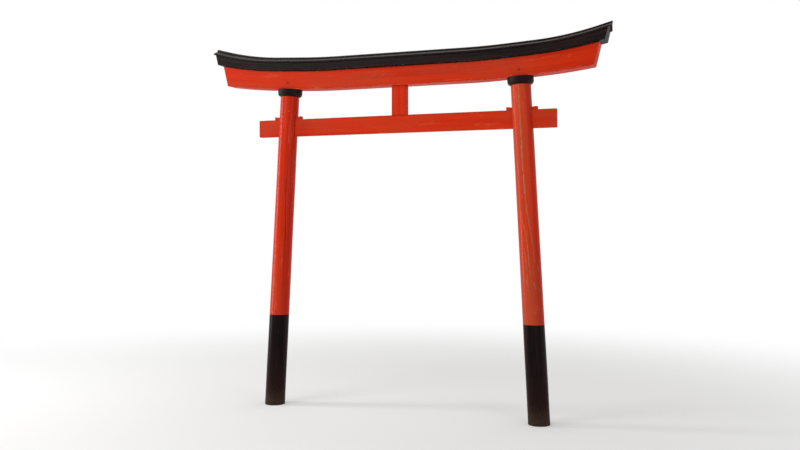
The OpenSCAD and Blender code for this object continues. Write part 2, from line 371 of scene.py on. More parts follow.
class Value:
    """A number or vector in a node tree. Arithmetic with it adds nodes."""

    def __init__(self, graph, socket):
        self.graph = graph
        self.socket = socket

    def math(self, operation, other=0.0):
        return self.graph.value("ShaderNodeMath", {0: self, 1: other}, operation=operation)

    def __add__(self, other):
        return self.math("ADD", other)

    def __sub__(self, other):
        return self.math("SUBTRACT", other)

    def __rsub__(self, other):
        return self.graph.value("ShaderNodeMath", {0: other, 1: self}, operation="SUBTRACT")

    def __mul__(self, other):
        return self.math("MULTIPLY", other)

    def __abs__(self):
        return self.math("ABSOLUTE")

    def most(self, other):
        return self.math("MAXIMUM", other)

    def ramp(self, low, high, to_low=0.0, to_high=1.0):
        """Smooth step between two marks."""
        inputs = dict(enumerate((self, low, high, to_low, to_high)))
        return self.graph.value("ShaderNodeMapRange", inputs, interpolation_type="SMOOTHSTEP")

    def lines(self, width):
        """Thin lines where a noise is halfway."""
        return abs(self - 0.5).ramp(width, 0.0)

    def curve(self, points):
        """Smooth curve through points, whose places and values are from 0 to 1."""
        node = self.graph.add("ShaderNodeFloatCurve", {"Value": self})
        line = node.mapping.curves[0].points
        line[0].location = points[0]
        line[1].location = points[-1]
        for place, height in points[1:-1]:
            line.new(place, height)
        node.mapping.update()
        return Value(self.graph, node.outputs[0])

    def parts(self):
        """The three numbers of a vector or colour."""
        node = self.graph.add("ShaderNodeSeparateXYZ", {0: self})
        return [Value(self.graph, socket) for socket in node.outputs]

    def vector_math(self, operation, other, output=0):
        inputs = {0: self, 1: other}
        return self.graph.value("ShaderNodeVectorMath", inputs, output, operation=operation)

    def scaled(self, across, along, shift=0.0):
        """Coordinates moved by a shift, with so many patterns a metre in each direction."""
        moved = self.vector_math("ADD", (shift, shift, shift))
        return moved.vector_math("MULTIPLY", (across, across, along))

    def noise(self, detail=3.0, roughness=0.55):
        inputs = {"Vector": self, "Scale": 1.0, "Detail": detail, "Roughness": roughness}
        return self.graph.value("ShaderNodeTexNoise", inputs, "Fac")

    def spots(self, share):
        """Ragged spots of many sizes, each in the middle of one of a share of cells."""
        cells = self.graph.add("ShaderNodeTexVoronoi", {"Vector": self, "Scale": 1.0}).outputs
        chance, size, _ = Value(self.graph, cells["Color"]).parts()
        edge = self.scaled(6.0, 4.0).noise(4.0, 0.7)
        ragged = Value(self.graph, cells["Distance"]) + edge * 0.5 - (size * 0.24 + 0.24)
        return chance.ramp(1 - share, 1.01 - share) * ragged.ramp(0.03, 0.0)


class Graph:
    """A node tree, with short calls for the few kinds of node used here."""

    def __init__(self, owner):
        owner.use_nodes = True
        self.owner = owner
        self.tree = owner.node_tree

    def found(self, kind):
        """The node of a kind that the tree begins with."""
        return next(node for node in self.tree.nodes if node.type == kind)

    def feed(self, node, inputs):
        """Links a node's inputs to values, or gives them numbers or colours."""
        for key, value in inputs.items():
            socket = node.inputs[key]
            if isinstance(value, Value):
                self.tree.links.new(value.socket, socket)
            elif socket.type == "RGBA":
                socket.default_value = (*value, 1)
            else:
                socket.default_value = value

    def add(self, kind, inputs, **settings):
        node = self.tree.nodes.new(kind)
        for key, value in settings.items():
            setattr(node, key, value)
        self.feed(node, inputs)
        return node

    def value(self, kind, inputs, output=0, **settings):
        """One output of a new node."""
        return Value(self, self.add(kind, inputs, **settings).outputs[output])

    def vector(self, x, y, z):
        return self.value("ShaderNodeCombineXYZ", {0: x, 1: y, 2: z})

    def facing(self, axis):
        """How far a face looks along an axis, from -1 to 1."""
        return self.value("ShaderNodeNewGeometry", {}, "Normal").parts()[axis]

    def mix(self, share, first, second):
        """A colour between two. Sockets 6 and 7 are a mix node's for colours."""
        return self.value("ShaderNodeMix", {0: share, 6: first, 7: second}, 2, data_type="RGBA")

    def bump(self, height, distance, **under):
        """Relief of a height, over the one given as Normal."""
        inputs = {"Height": height, "Distance": distance, "Strength": 1.0}
        return self.value("ShaderNodeBump", inputs | under)


# Spacing of the year rings on a sawn end
YEAR = 4.2 * MM


class Paint(Graph):
    """A painted finish: a colour that one layer after another covers, and where it is worn."""

    def __init__(self, name, seed, colour):
        super().__init__(bpy.data.materials.new(name))
        self.seed = seed
        self.colour = colour
        self.worn = 0.0
        self.grain = self.attribute("grain")

    def attribute(self, name):
        return self.value("ShaderNodeAttribute", {}, "Vector", attribute_name=name)

    def stretched(self, across, along, shift=0.0):
        """Grain coordinates with so many patterns a metre across and along the grain."""
        return self.grain.scaled(across, along, self.seed + shift)

    def pattern(self, across, along, shift=0.0, detail=3.0, roughness=0.55):
        """Noise with so many waves a metre across and along the grain."""
        return self.stretched(across, along, shift).noise(detail, roughness)

    def cover(self, share, colour, strength=1.0, rough=False):
        """Lays a colour over the others, which may leave the surface rough."""
        if strength < 1:
            share = share * strength
        self.colour = self.mix(share, self.colour, colour)
        if rough:
            self.worn = share.most(self.worn)

    def brushed(self, across, low, strength, colour):
        """Brush streaks in another colour, so many a metre."""
        self.brush = self.pattern(across, 6, detail=2.0)
        self.cover(self.brush.ramp(low, 0.8, 0, strength), colour)

    def relief(self, brush_depth, height, depth):
        """Relief of the brush streaks and of a height."""
        return self.bump(height, depth, Normal=self.bump(self.brush, brush_depth))

    def rubbed(self):
        """Where the paint is worn off along a piece's edges, in ragged stretches."""
        side = abs(self.facing(0)).ramp(0.8, 0.6)
        edge = self.attribute("edge").parts()[0] * side
        patches = self.pattern(130, 16, 9, 5.0, 0.6)
        return (edge + (patches - 0.5) * 1.5).ramp(1.04, 1.14)

    def end_grain(self, pith, mask=None):
        """Year rings and drying checks on a beam's sawn ends, or by a mask. Pith is the centre."""
        if mask is None:
            mask = abs(self.facing(0)).ramp(0.6, 0.8)
        across, up, _ = self.grain.parts()
        x = across - pith[0]
        y = up - pith[1]
        distance = (x * x + y * y).math("SQRT")
        year = distance * (TURN / YEAR) + self.grain.scaled(22, 0).noise(2.0) * 9.0
        rings = year.math("SINE").ramp(-0.4, 1.0) * mask
        turn = y.math("ARCTAN2", x) * 1.9
        spokes = self.vector(turn, distance * 9.0, 3.0).noise(2.0)
        checks = spokes.lines(0.014) * (distance.ramp(0.075, 0.02) * mask)
        return rings, checks

    def done(self, roughness, normal, specular, coat=0.0):
        """The material, once its shader has the paint's colour and gloss."""
        self.feed(self.found("BSDF_PRINCIPLED"), {
            "Base Color": self.colour, "Roughness": roughness, "Normal": normal,
            "Specular IOR Level": specular, "Coat Weight": coat, "Coat Roughness": 0.15
        })
        return self.owner


class Red(Paint):
    """Old vermilion paint, brushed along the grain."""

    def __init__(self, name, seed, fading, colour=VERMILION):
        super().__init__(name, seed, colour)
        self.cover(self.pattern(26, 0.55).ramp(0.40, 0.70, 0, 0.55), DEEP_RED)
        self.clouds = self.pattern(5, 1.2, 3, 4.0)
        self.cover(self.clouds.ramp(0.42, 0.74, 0, fading), FADED_RED)
        self.cover(self.pattern(110, 1.4, 6).ramp(0.50, 0.76, 0, 0.34), FADED_RED)
        self.brushed(420, 0.45, 0.30, DEEP_RED)

    def wear(self, chips):
        """Fine checks along the grain, pale scratches and chips down to the primer."""
        hair = self.pattern(90, 1.5, 5, 2.0).lines(0.010)
        self.cover(hair * self.clouds.ramp(0.58, 0.70), RAW_WOOD, 0.7, rough=True)
        scratches = self.pattern(150, 2.6, 7, 2.0).lines(0.016)
        patchy = self.pattern(16, 3.0, 8, 2.0).ramp(0.56, 0.66)
        self.cover(scratches * patchy, PALE_SCRATCH, 0.6)
        self.cover(self.stretched(48, 22).spots(chips), PRIMER, 0.85, rough=True)

    def finish(self, coat, smoothest=0.22, dullest=0.38):
        gloss = self.clouds.ramp(0.35, 0.75, smoothest, dullest)
        relief = self.relief(0.10 * MM, 1.0 - self.worn, 0.3 * MM)
        return self.done(gloss.most(self.worn * 0.75), relief, 0.07, coat)


# Longest and widest run of bare wood, radius of the log there, sway of the run, its soft rims and
# the width over which its painted highlight fades
RUN_LENGTH = 1.6
RUN_WIDEST = 10 * MM
RUN_RADIUS = 88 * MM
RUN_SWAY = math.radians(9)
RUN_RIM = 0.8 * MM
RUN_HIGHLIGHT_FADE = 2.6 * MM


def bare_run(paint, angle, above, points, seed, swell):
    """How far a point lies in a run of bare wood drawn down a log, and in the run's left part,
    which gets a painted highlight.
    The run's points are heights above the black, angles in degrees and half widths in mm."""
    share = above * (1 / RUN_LENGTH)
    path = share.curve([(z / RUN_LENGTH, 0.5 + turn / 360) for z, turn, _ in points])
    half = share.curve([(z / RUN_LENGTH, w * MM / RUN_WIDEST) for z, _, w in points])
    sway = paint.vector(seed, 0.0, above * 7.0).noise(4.0)
    path = path * TURN + sway * RUN_SWAY
    aside = (angle - (path - (math.pi + RUN_SWAY / 2))) * RUN_RADIUS
    inside = (half * RUN_WIDEST * swell - abs(aside)).ramp(0.0, RUN_RIM)
    return inside, inside * aside.ramp(RUN_RIM, -RUN_HIGHLIGHT_FADE)


def post_red(name, seed, fading, runs, colour=VERMILION):
    """Paint of a red log: faded low down, with runs of bare wood and a rim over the black that is a
    painted highlight. Its side facing +x is painted darker, as painted shade.
    """
    red = Red(name, seed, fading, colour)
    out, back, _ = red.grain.parts()
    depth, above, _ = red.attribute("face").parts()
    cloudy = (red.clouds - 0.5) * 0.9
    red.cover((above + cloudy).ramp(0.62, 0.20, 0, 0.8 * fading), FADED_RED)
    # Painted shade: the side of the log facing +x is deeper red, and bare runs there are darker too
    painted_shade_side = out.ramp(0.01, 0.085)
    red.cover(painted_shade_side, DEEP_RED, 0.65)
    red.wear(0.035)
    angle = back.math("ARCTAN2", out)
    speckle = red.pattern(150, 60, 0, 4.0, 0.7)
    swell = red.pattern(75, 10, 4, 5.0, 0.62).ramp(0.28, 0.70, 0.30, 1.75)
    swell = swell * speckle.ramp(0.30, 0.70, 0.50, 1.45)
    # pale collects the runs' left parts, which get a painted highlight
    bare = pale = 0.0
    for k, points in enumerate(runs):
        inside, left = bare_run(red, angle, above, points, seed + 7.3 * k, swell)
        bare = inside.most(bare)
        pale = left.most(pale)
    # The runs' left parts are lighter, as a painted highlight, mixed with random tone
    tone = pale * 0.65 + red.pattern(60, 14, 2, 4.0).ramp(0.38, 0.64) * 0.35
    wood = red.mix(tone, BARE_GREY, BARE_PALE)
    # Painted shade: bare wood on the side facing +x turns darker
    wood = red.mix(painted_shade_side * 0.9, wood, BARE_IN_PAINTED_SHADE)
    red.cover(bare * speckle.ramp(0.30, 0.60, 0.45, 0.95), wood, rough=True)
    # Painted highlight: a lighter rim just above the black
    red.cover(above.ramp(3.0 * MM, 0.6 * MM, 0, 0.55), PAINTED_HIGHLIGHT_RIM)
    red.cover(depth.ramp(0.3 * MM, 1.5 * MM), RAW_WOOD, rough=True)
    return red.finish(0.05)


def beam_red(name, seed, fading, pith=None):
    """Paint of red sawn timber. Pith is the centre of the year rings at its ends."""
    red = Red(name, seed, fading)
    red.wear(0.02)
    red.cover(red.rubbed(), BARE_PALE, 0.75, rough=True)
    if pith:
        rings, checks = red.end_grain(pith)
        red.cover(rings, DEEP_RED, 0.6)
        red.cover(checks, RAW_WOOD, 0.9, rough=True)
    return red.finish(0.0, 0.42, 0.62)


def peg_red(name, seed):
    """Red paint on the round ends of a peg."""
    red = Red(name, seed, 0.5)
    rings, checks = red.end_grain((0.002, 0.001), mask=1.0)
    red.cover(rings, DEEP_RED, 0.5)
    red.cover(checks, RAW_WOOD, rough=True)
    return red.finish(0.02)


def base_black(name, seed):
    """Black paint at a post's foot, with splashes from the ground and small scuffs."""
    black = Paint(name, seed, BLACK)
    along = black.grain.parts()[2]
    bands = black.pattern(30, 0.8).ramp(0.40, 0.72)
    black.cover(bands.most(along.ramp(0.60, 0.10, 0, 0.7)), BROWN_BLACK)
    black.brushed(380, 0.5, 0.3, GREY_BLACK)
    blotches = black.pattern(150, 90, 2, 8.0, 0.72)
    splash = (blotches + along.ramp(0.24, 0.0, 0, 0.30)).ramp(0.52, 0.98)
    splash = splash * along.ramp(0.42, 0.04)
    black.cover(splash, SPLASH, 0.55)
    black.cover(black.stretched(130, 60).spots(0.03), DUST, 0.35)
    gloss = blotches.ramp(0.3, 0.8, 0.24, 0.36)
    relief = black.relief(0.10 * MM, splash, 0.25 * MM)
    return black.done(gloss.most(splash * 0.85), relief, 0.05, 0.01)


def beam_black(name, seed, dusty, pith=None):
    """Black paint of the upper lintel, roof and rings. Dust lies on what faces up."""
    black = Paint(name, seed, BLACK)
    black.cover(black.pattern(30, 0.7).ramp(0.42, 0.74), BROWN_BLACK)
    black.brushed(360, 0.45, 0.35, GREY_BLACK)
    clouds = black.pattern(40, 9, 4, 7.0, 0.66)
    dust = black.facing(2).ramp(0.45, 0.95) * clouds.ramp(0.38, 0.78, 0, dusty)
    dust = dust * black.pattern(240, 7, 7, 4.0, 0.6).ramp(0.36, 0.62, 0.35, 1.25)
    black.cover(dust, DUST)
    open_wood = black.pattern(85, 1.3, 5, 2.0).lines(0.010) * clouds.ramp(0.48, 0.58)
    if pith:
        rings, checks = black.end_grain(pith)
        black.cover(rings, BROWN_BLACK, 0.5)
        open_wood = open_wood.most(checks)
    black.cover(open_wood, RAW_WOOD, 0.7)
    rubbed = black.rubbed()
    black.cover(rubbed, EDGE_BROWN, 0.75)
    worn = open_wood.most(rubbed)
    gloss = clouds.ramp(0.3, 0.8, 0.42, 0.60)
    relief = black.relief(0.12 * MM, 1.0 - worn, 0.3 * MM)
    return black.done(gloss.most(dust.most(worn) * 0.9), relief, 0.08)


def rusty_iron(name):
    """Painted nail heads, with rust coming through."""
    iron = Paint(name, 0.0, BLACK)
    rust = iron.pattern(180, 180, detail=4.0).ramp(0.48, 0.66)
    iron.cover(rust, RUST, 0.8)
    return iron.done(rust.ramp(0, 1, 0.38, 0.7), iron.bump(rust, 0.1 * MM), 0.3)


# Posts, their black bases and their capital rings

# Columns of points across a drying check, as shares of its half width, and beside it
ACROSS_CHECK = np.array([-1.0, -0.7, -0.4, -0.15, 0.0, 0.15, 0.4, 0.7, 1.0])
BESIDE_CHECK = np.array([3.0, 4.6, 7.5, 12.0]) * MM

# Least width of a check, length of its wide stretches, and how far columns beside it bend along
CHECK_LEAST = 0.4 * MM
CHECK_STRETCH = 250 * MM
CHECK_BEND = 90 * MM

# How far a check wanders, slowly and quickly, and over what lengths
CHECK_WANDER = ((30 * MM, 800 * MM), (2.5 * MM, 90 * MM))


def wavy(along, seed, length):
    """Unevenness from 0 to 1 at places along a line."""
    return waves(np.stack([0 * along, 0 * along, along], -1), seed, 1, length)


class Check(NamedTuple):
    """A long drying check that wanders up a log's face."""

    seed: int
    angle: float
    lowest: float
    highest: float
    width: float
    depth: float

    def opening(self, along):
        share = np.clip((along - self.lowest) / (self.highest - self.lowest), 0, 1)
        uneven = wavy(along, self.seed, CHECK_STRETCH)
        return np.sin(math.pi * share) ** 0.5 * (0.45 + 0.55 * uneven)

    def wander(self, along):
        return sum(
            (wavy(along, self.seed + k, length) - 0.5) * distance
            for k, (distance, length) in enumerate(CHECK_WANDER, 1)
        )

    def columns(self, radius, along):
        around = TURN * radius
        opening = self.opening(along)[:, None]
        rest = np.linspace(BESIDE_CHECK[-1], around - BESIDE_CHECK[-1], LOG_COLUMNS)[1:-1]
        still = np.concatenate([-BESIDE_CHECK[::-1], 0 * ACROSS_CHECK, BESIDE_CHECK, rest])
        inside = slice(len(BESIDE_CHECK), len(BESIDE_CHECK) + len(ACROSS_CHECK))
        arcs = np.tile(still, (len(along), 1))
        arcs[:, inside] = np.maximum(opening * self.width, CHECK_LEAST) / 2 * ACROSS_CHECK
        away = np.minimum(np.abs(still), around - np.abs(still))
        follow = np.clip(1 - (away - BESIDE_CHECK[-1]) / CHECK_BEND, 0, 1)
        arcs += self.wander(along)[:, None] * follow
        depth = np.zeros_like(arcs)
        depth[:, inside] = self.depth * opening * (1 - np.abs(ACROSS_CHECK)) ** 0.6
        return self.angle + arcs / radius, depth


def even_angles(count):
    return np.arange(count) * TURN / count


def eased_rows(length):
    """Places of rows from 0 to a length, and how far each is drawn in at the eased ends."""
    plain = np.arange(LOG_PITCH, length - LOG_PITCH / 2, LOG_PITCH)
    ends, drawn = np.array(LOG_EASE).T
    places = np.concatenate([ends, plain, length - ends[::-1]])
    return places, np.concatenate([drawn, 0 * plain, drawn[::-1]])


def polar(radius, angles, along):
    """Points around an axis."""
    return np.stack([radius * np.cos(angles), radius * np.sin(angles), along + 0 * radius], -1)


def turned(profile, columns):
    """Round rings, by their radii and their places along the axis."""
    angles = even_angles(columns)
    return np.array([polar(np.full(columns, radius), angles, s) for radius, s in profile])


def square_rings(half, angles, places):
    """Square rings at places along the axis, with a point for each angle."""
    reach = half / np.maximum(np.abs(np.cos(angles)), np.abs(np.sin(angles)))
    return [polar(reach, angles, s) for s in places]


def log_face(post, low, high, seed, check=None):
    """Rings up a log's face from low to high, which give a place along it for each angle."""
    length = float(high(0.0) - low(0.0))
    places, drawn = eased_rows(length)
    angles = np.tile(even_angles(LOG_COLUMNS), (len(places), 1))
    depth = 0 * angles
    if check:
        angles, depth = check.columns(post.foot_radius, float(low(0.0)) + places)
    bottom = low(angles)
    along = bottom + (high(angles) - bottom) * (places / length)[:, None]
    radius = post.radius(along)
    uneven = waves(polar(radius, angles, along), seed, LOG.across, LOG.along)
    return polar(radius - LOG.depth * uneven - depth - drawn[:, None], angles, along)


def ring_angles(ring):
    return np.arctan2(ring[:, 1], ring[:, 0])


def inner_rings(post, ring, start, end, inset):
    """Level rings inside a log's face between two heights, with the angles of a ring there."""
    angles = ring_angles(ring)
    along = post.level(np.linspace(start, end, INNER_ROWS)[:, None], angles)
    return polar(post.radius(along) - inset, angles, along)


def mortise_tool(side):
    """The tie beam's hole in a post, with a roof that rises to both faces for the wedges."""
    post = POSTS[side]
    low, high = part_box("tie_beam")
    axis_x = post.axis_x(high.z)
    wedge = cad_points(f"{side}_outer_wedge")
    away = np.abs(wedge[:, 0] - axis_x)
    tip = away.min()
    tip_top = wedge[away < tip + EXACT][:, 2].max()
    crown = wedge[:, 2].argmax()
    slope = (wedge[crown, 2] - tip_top) / (away[crown] - tip)
    roof = tip_top - slope * tip
    reach = 2 * post.foot_radius
    eave = roof + slope * reach
    outline = [(-reach, low.z), (reach, low.z), (reach, eave), (0, roof), (-reach, eave)]
    half = (high.y - low.y) / 2 + JOINT_GAP
    rings = np.array([[(axis_x + x, y, z) for x, z in outline] for y in (-half, half)])
    return lofted("mortise_tool", rings)


def add_post(side, material, seed, check=None):
    """A whole log: its foot inside the wrap, its painted face and its tenon."""
    post = POSTS[side]
    face = log_face(
        post, lambda angle: post.level(post.line_z, angle),
        lambda angle: post.shoulder + 0 * angle, seed, check,
    )
    foot = post.world(inner_rings(post, face[0], 0, post.line_z, post.log_inset))
    foot[..., 2] = foot[..., 2].clip(0, post.line_z)
    top = ring_angles(face[-1])
    tenon = square_rings(post.tenon_half, top, (post.shoulder, post.tenon_top))
    shaft = post.world(np.concatenate([face, tenon]))
    shaft[..., 2] = shaft[..., 2].clip(min=post.line_z)
    piece = lofted(f"{side}_log", np.concatenate([foot, shaft]))
    cut(piece, mortise_tool(side))
    points = vertices(piece)
    out, back, along = post.local(points).T
    deep = post.radius(along) - LOG.depth - np.hypot(out, back)
    above = points[:, 2] - post.line_z
    set_vector(piece, "face", np.stack([deep, above, 0 * above], 1))
    finish_piece(piece, material, post.local, "post_paint", f"{side}_post")


def add_base_wrap(side, material, seed):
    """The black base: a thin tube around the log's foot, level at both ends."""
    post = POSTS[side]
    face = log_face(
        post, lambda angle: post.level(0.0, angle),
        lambda angle: post.level(post.line_z, angle), seed,
    )
    lining = inner_rings(post, face[0], post.line_z, 0, post.wrap_inset)
    rings = post.world(np.concatenate([face, lining]))
    rings[..., 2] = rings[..., 2].clip(0, post.line_z)
    piece = lofted(f"{side}_black_base", rings, joined=True)
    finish_piece(piece, material, post.local, "base_black", f"{side}_base_wrap")


# Rim at the foot of a capital ring, and steps of its curved underside and of its upright band
RING_RIM = 0.3 * MM
RING_CURVE = 20
RING_BAND = 6


def add_capital_ring(side, material, seed):
    """Turned ring with a curved underside and a square hole for the tenon."""
    post = POSTS[side]
    local = post.local(cad_points(f"{side}_capital_ring"))
    section = np.stack([np.hypot(local[:, 0], local[:, 1]), local[:, 2]], 1)
    widest = section[:, 0].max()
    lip = level_with(section, 1, post.shoulder)[:, 0].max()
    band = level_with(section, 0, widest)[:, 1]
    low, high = band.min(), band.max()
    edge = post.ring_top - high
    turn = np.linspace(0, math.pi / 2, RING_CURVE)[1:]
    sine, cosine = np.sin(turn), np.cos(turn)
    profile = np.concatenate([
        [(lip - 4 * RING_RIM, post.shoulder), (lip - RING_RIM, post.shoulder + RING_RIM)],
        np.stack([lip + (widest - lip) * sine, low + (post.shoulder - low) * cosine], 1),
        [(widest, s) for s in np.linspace(low, high, RING_BAND)[1:]],
        np.stack([widest - edge * (1 - cosine), high + edge * sine], 1)[::4],
        [(widest - 1.6 * edge, post.ring_top)]
    ])
    hole = square_rings(
        post.tenon_half + JOINT_GAP, even_angles(LOG_COLUMNS), (post.ring_top, post.shoulder)
    )
    rings = post.world(np.concatenate([turned(profile, LOG_COLUMNS), hole]))
    piece = lofted(f"{side}_turned_ring", rings, joined=True)
    settle(piece, post.local, RING, seed)
    finish_piece(piece, material, post.local, "beam_black", f"{side}_capital_ring")


# Beams, wedges, strut and roof

def rounded(corners, radius, pitch):
    """Sections with their corners rounded, less beside a short side, and their sides divided."""
    sides = np.roll(corners, -1, axis=1) - corners
    lengths = np.linalg.norm(sides, axis=2).min(0)
    reach = np.minimum(radius, CORNER_SHARE * np.minimum(lengths, np.roll(lengths, 1)))
    ways = unit(sides)
    points = []
    for k in range(len(reach)):
        following = (k + 1) % len(reach)
        corner = corners[:, k]
        start = corner - reach[k] * ways[:, k - 1]
        end = corner + reach[k] * ways[:, k]
        stop = corners[:, following] - reach[following] * ways[:, k]
        for t in CORNER_STEPS:
            points.append((1 - t) ** 2 * start + 2 * t * (1 - t) * corner + t * t * end)
        steps = max(1, math.ceil(lengths[k] / pitch))
        for t in np.arange(1, steps) / steps:
            points.append(end + (stop - end) * t)
    return np.stack(points, 1)


def drawn_in(ring, distance):
    """A flat ring of points made smaller by a distance on all sides."""
    ahead = np.roll(ring, -1, axis=0)
    centre = ring.mean(0)
    normal = unit(np.cross(ring - centre, ahead - centre).sum(0))
    tangent = ahead - np.roll(ring, 1, axis=0)
    return ring + distance * unit(np.cross(normal, tangent))


def eased_ends(rings):
    """A beam's rings, with those at its ends replaced by a few that ease the rims."""
    first, last = rings[0], rings[-1]
    ahead = unit(rings[1].mean(0) - first.mean(0))
    back = unit(rings[-2].mean(0) - last.mean(0))
    start = [drawn_in(first, inset) + ahead * d for d, inset in BEAM_EASE]
    end = [drawn_in(last, inset) + back * d for d, inset in reversed(BEAM_EASE)]
    return np.concatenate([start, rings[1:-1], end])


def add_beam(name, node, corners, grain, timber, material, slot, seed, *tools, eased=True):
    """A piece through sections of corners, with rounded edges, eased ends and uneven faces."""
    rings = rounded(corners, timber.edge, timber.pitch)
    if eased:
        rings = eased_ends(rings)
    piece = lofted(name, rings)
    settle(piece, grain, timber, seed)
    if tools:
        cut(piece, *tools)
    finish_piece(piece, material, grain, slot, node)


def shares(length):
    """Places of a beam's rows, as shares of its length."""
    return np.linspace(0, 1, math.ceil(length / BEAM_PITCH) + 1)


def axes(order, origin=(0, 0, 0)):
    """Grain coordinates: the frame's axes from an origin, in an order that ends along the grain."""
    return lambda points: (points - origin)[:, order]


def along_x(base):
    """Grain coordinates of a beam that runs along x, over its base line."""
    def grain(points):
        under = np.interp(points[:, 0], *base)
        return np.stack([points[:, 1], points[:, 2] - under, points[:, 0]], 1)
    return grain


def widths(node):
    """Half the thickness of a bevelled CAD beam, and half that of its top and underside."""
    ys = np.unique(cad_points(node)[:, 1].round(DIGITS))
    return ys[-1], ys[-2]


def add_bevelled_beam(name, node, timber, material, seed, *tools):
    """A red beam with cut corners, between the CAD beam's lower and upper lines."""
    half, inner = widths(node)
    base = edge_line(node, inner)
    top = edge_line(node, inner, upper=True)
    share = shares(np.ptp(top[0]))
    low = on_line(base, share)
    high = on_line(top, share)
    up = (high - low) * ((half - inner) / (high[:, 2] - low[:, 2]))[:, None]
    corners = [
        (low, -inner), (low, inner), (low + up, half), (high - up, half),
        (high, inner), (high, -inner), (high - up, -half), (low + up, -half)
    ]
    corners = np.stack([line + (0, y, 0) for line, y in corners], 1)
    grain = along_x(base)
    add_beam(name, node, corners, grain, timber, material, "beam_paint", seed, *tools)


def add_lined_beam(name, node, edges, length, timber, material, slot, seed):
    """A beam through its CAD node's lengthwise edges, the first of which is its base line.
    An edge is given by its y, and by whether it is the upper one there."""
    lines = [edge_line(node, y, upper) for y, upper in edges]
    share = shares(length)
    corners = np.stack([on_line(line, share, y) for line, (y, _) in zip(lines, edges)], 1)
    add_beam(name, node, corners, along_x(lines[0]), timber, material, slot, seed)


def add_upper_lintel(material, seed):
    """Black lintel with a gabled top."""
    node = "upper_lintel"
    half, inner = widths(node)
    edges = [
        (-inner, False), (inner, False), (half, False), (half, True),
        (0, True), (-half, True), (-half, False)
    ]
    length = np.ptp(edge_line(node, inner)[0])
    add_lined_beam("lintel_above", node, edges, length, LINTEL, material, "beam_black", seed)


# Sections of the roof's pieces: shares of their reach from the ridge, and if an edge is the upper
BOARD_SECTION = ((1, False), (0, False), (0, True), (1, True))
CAP_SECTION = ((1, False), (1, True), (0, True), (-1, True), (-1, False), (0, False))


def roof_edge(node):
    """The y of a roof piece's edge that is furthest from the ridge."""
    low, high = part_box(node)
    return max(low.y, high.y, key=abs)


def add_roof_piece(node, section, timber, material, seed):
    """A board on one slope, or a folded cap over the ridge, on one half of the roof."""
    low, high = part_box(node)
    length = high.x - low.x
    edges = [(share * roof_edge(node), upper) for share, upper in section]
    add_lined_beam(f"{node}_plank", node, edges, length, timber, material, "roof_black", seed)


def add_wedge(side, place, material, seed):
    """Wedge over the tie beam, from its tip inside the post to its head."""
    node = f"{side}_{place}_wedge"
    low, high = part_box(node)
    axis_x = POSTS[side].axis_x(low.z)
    tip_x, head_x = sorted((low.x, high.x), key=lambda x: abs(x - axis_x))
    tip_top = level_with(cad_points(node), 0, tip_x)[:, 2].max()
    tip, head = (
        [(x, low.y, low.z), (x, high.y, low.z), (x, high.y, top), (x, low.y, top)]
        for x, top in ((tip_x, tip_top), (head_x, high.z))
    )
    corners = np.linspace(tip, head, SHORT_ROWS)
    grain = axes([1, 2, 0], (0, 0, low.z))
    add_beam(f"{node}_key", node, corners, grain, WEDGE, material, "beam_paint", seed)


def add_strut(material, seed):
    """Board that stands between tie beam and lower lintel, with a stub tenon at each end."""
    node = "centre_strut"
    points = cad_points(node)
    low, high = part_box(node)
    tenon = level_with(points, 2, low.z)
    centre = middle(tenon)[:2]
    tenon_half = np.ptp(tenon, 0)[:2] / 2
    body_half = np.array([high.x - low.x, high.y - low.y]) / 2
    wide = level_with(points, 0, low.x)[:, 2]
    body = np.linspace(wide.min(), wide.max(), SHORT_ROWS)
    rows = [(low.z, tenon_half), (body[0], tenon_half)]
    rows += [(z, body_half) for z in body]
    rows += [(body[-1], tenon_half), (high.z, tenon_half)]
    corners = np.array([[(*place, z) for place in centre + SQUARE * half] for z, half in rows])
    grain = axes([1, 0, 2], (centre[0], 0, 0))
    name = "standing_board"
    add_beam(name, node, corners, grain, STRUT, material, "beam_paint", seed, eased=False)


# Dome of a peg's end: distances from its tip, and shares of its radius there
PEG_DOME = ((0.0, 0.30), (0.4 * MM, 0.62), (1.2 * MM, 0.84), (2.4 * MM, 0.96), (4.5 * MM, 1.0))


def peg_size(side):
    """Centre, radius and half length of a peg, which lies along y."""
    low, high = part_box(f"{side}_lintel_peg")
    return (low + high) / 2, (high.x - low.x) / 2, (high.y - low.y) / 2


def across_lintel(name, centre, profile):
    """A round piece along y, by its radii and their distances behind its centre."""
    return lofted(name, turned(profile, PEG_COLUMNS)[..., [0, 2, 1]] + centre)


def peg_bore(side):
    """A bore through the lower lintel, as a tool for cutting."""
    centre, radius, half = peg_size(side)
    return across_lintel("peg_bore", centre, [(radius + PEG_GAP, y) for y in (-2 * half, 2 * half)])


def add_peg(side, material, seed):
    """Round peg with domed ends that stand out from the lintel."""
    centre, radius, half = peg_size(side)
    front = [(share * radius, d - half) for d, share in PEG_DOME]
    back = [(r, -y) for r, y in reversed(front)]
    piece = across_lintel(f"{side}_oak_peg", centre, front + back)
    grain = axes([0, 2, 1], (centre.x, 0, centre.z))
    settle(piece, grain, PEG, seed)
    finish_piece(piece, material, grain, "beam_paint", f"{side}_lintel_peg")


# Nails of the roof: their rows' distances from the ridge, their pitch and how far they stray
BOARD_NAILS = (86 * MM, 42 * MM)
CAP_NAILS = 19 * MM
NAIL_PITCH = 150 * MM
NAIL_STRAY = 0.008

# Step on the ridge that its slope at a nail is taken over, as a share of its length
SLOPE_STEP = 0.01

# A nail's head: its radius, its profile as shares of it and heights in mm, and its points around
NAIL_RADIUS = 4.5 * MM
NAIL_PROFILE = ((1.0, -1.4), (1.0, 0.5), (0.86, 1.0), (0.55, 1.4), (0.2, 1.55))
NAIL_COLUMNS = 14


